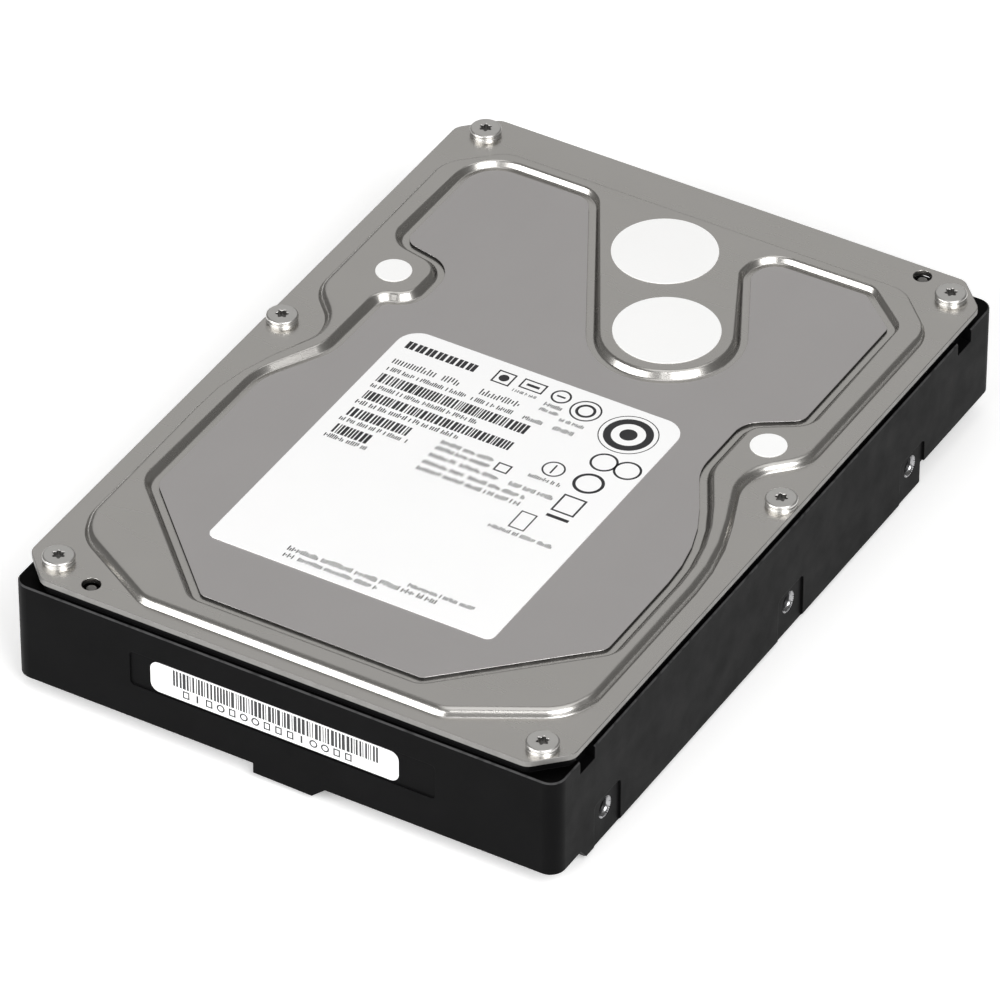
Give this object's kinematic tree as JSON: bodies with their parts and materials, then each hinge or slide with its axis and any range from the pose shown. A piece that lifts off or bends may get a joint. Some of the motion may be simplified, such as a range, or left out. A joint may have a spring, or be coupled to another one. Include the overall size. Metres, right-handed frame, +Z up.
{
  "type": "hard disk drive",
  "caption": "Rectangular disk drive: black cast base, embossed steel cover, spinning platters, swinging head arms, serial plug and threaded mounting holes.",
  "frame": {"origin": "middle of the underside, on the plane of the two bottom rails", "axes": "+X across the width, +Y towards the connector end, +Z up to the cover"},
  "size_m": [0.1016, 0.146, 0.0261],
  "materials": {
    "casting_black": "satin black electrocoat on cast aluminium",
    "cover_steel": "satin stainless sheet",
    "plate_steel": "fine satin stainless",
    "screw_steel": "plated steel",
    "label_paper": "white label stock",
    "seal_film": "white film",
    "gasket_rubber": "moulded gasket",
    "platter_mirror": "polished",
    "aluminium_bare": "machined",
    "steel_plain": "ground",
    "magnet_nickel": "nickel plate",
    "copper_wire": "enamelled copper winding",
    "plastic_black": "glass-filled plastic",
    "plastic_cream": "natural engineering plastic",
    "plastic_amber": "polyimide film",
    "stop_rubber": "soft",
    "filter_fabric": "electret fibre",
    "board_green": "solder resist",
    "chip_black": "moulded epoxy",
    "slider_ceramic": "polished",
    "contact_gold": "gold plate"
  },
  "bodies": {
    "root": {"base_casting": "casting_black", "top_cover": "cover_steel", "cover_gasket": "gasket_rubber", "damping_plate": "plate_steel", "top_label": "label_paper", "end_label": "label_paper", "access_seals": "seal_film", "servo_seals": "seal_film", "cover_screws": "screw_steel", "locating_pins": "screw_steel", "motor_flange": "aluminium_bare", "bearing_sleeve": "steel_plain", "stator_core": "steel_plain", "stator_windings": "copper_wire", "pivot_shaft": "steel_plain", "vcm_lower_yoke": "magnet_nickel", "vcm_upper_yoke": "magnet_nickel", "vcm_lower_magnet": "magnet_nickel", "vcm_upper_magnet": "magnet_nickel", "vcm_posts": "steel_plain", "vcm_screws": "screw_steel", "crash_stops": "stop_rubber", "load_ramp": "plastic_cream", "latch_pin": "steel_plain", "flex_bracket": "plastic_black", "flex_cable": "plastic_amber", "recirculation_filter": "filter_fabric", "breather_filter": "plastic_black", "desiccant_pack": "filter_fabric", "pcb": "board_green", "pcb_screws": "screw_steel", "controller_chip": "chip_black", "motor_driver_chip": "chip_black", "support_chips": "chip_black", "capacitors": "plastic_cream", "pcb_insulator": "plastic_black", "head_connector": "plastic_black", "motor_connector": "plastic_cream", "connector_housing": "plastic_black", "connector_contacts": "contact_gold"},
    "spindle": {"spindle_hub": "aluminium_bare", "spindle_shaft": "steel_plain", "rotor_magnet": "magnet_nickel", "platter_1": "platter_mirror", "platter_2": "platter_mirror", "platter_3": "platter_mirror", "platter_4": "platter_mirror", "spacer_rings": "aluminium_bare", "disk_clamp": "aluminium_bare", "clamp_screws": "screw_steel"},
    "actuator": {"arm_block": "aluminium_bare", "pivot_bearing": "steel_plain", "voice_coil": "copper_wire", "coil_frame": "plastic_cream", "suspensions": "steel_plain", "head_sliders": "slider_ceramic", "actuator_flex": "plastic_amber", "preamp_chip": "chip_black"},
    "latch": {"latch_lever": "plastic_cream"}
  },
  "joints": [
    {"name": "spindle_spin", "type": "hinge", "parent": "root", "child": "spindle", "pos_m": [0, -0.022, 0.008], "axis": [0, 0, 1], "continuous": true},
    {"name": "actuator_swing", "type": "hinge", "parent": "root", "child": "actuator", "pos_m": [0.0097, 0.034, 0.014], "axis": [0, 0, 1], "range_deg": [0, 33.5]},
    {"name": "latch_turn", "type": "hinge", "parent": "root", "child": "latch", "pos_m": [0.0413, 0.029, 0.014], "axis": [0, 0, 1], "range_deg": [-12, 0], "stiffness_Nm_per_rad": 0.0002}
  ]
}
